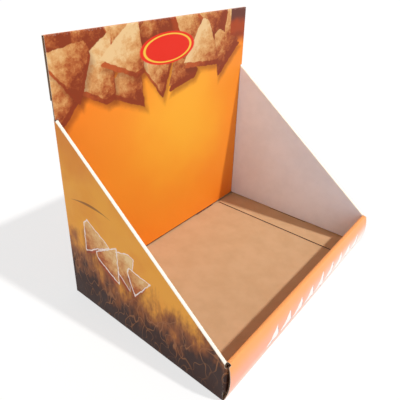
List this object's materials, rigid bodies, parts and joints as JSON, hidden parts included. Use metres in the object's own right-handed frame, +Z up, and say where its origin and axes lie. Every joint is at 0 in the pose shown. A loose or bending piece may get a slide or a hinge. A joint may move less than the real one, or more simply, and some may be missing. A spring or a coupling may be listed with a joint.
{
  "type": "counter display box",
  "caption": "Folded board counter display box: open tray with slanted side walls, low hollow front lip and tall printed header.",
  "frame": {"origin": "centre of the base's underside, midway between the side walls' front and back ends", "axes": "+X across the box to the right as seen from the front, +Y from the front lip to the back, +Z up to the header"},
  "size_m": [0.32, 0.2239, 0.296],
  "materials": {
    "printed_board": "E-flute board with a glossy printed sheet outside and plain brown kraft inside"
  },
  "bodies": {
    "root": {"display_box": "printed_board"}
  },
  "joints": []
}
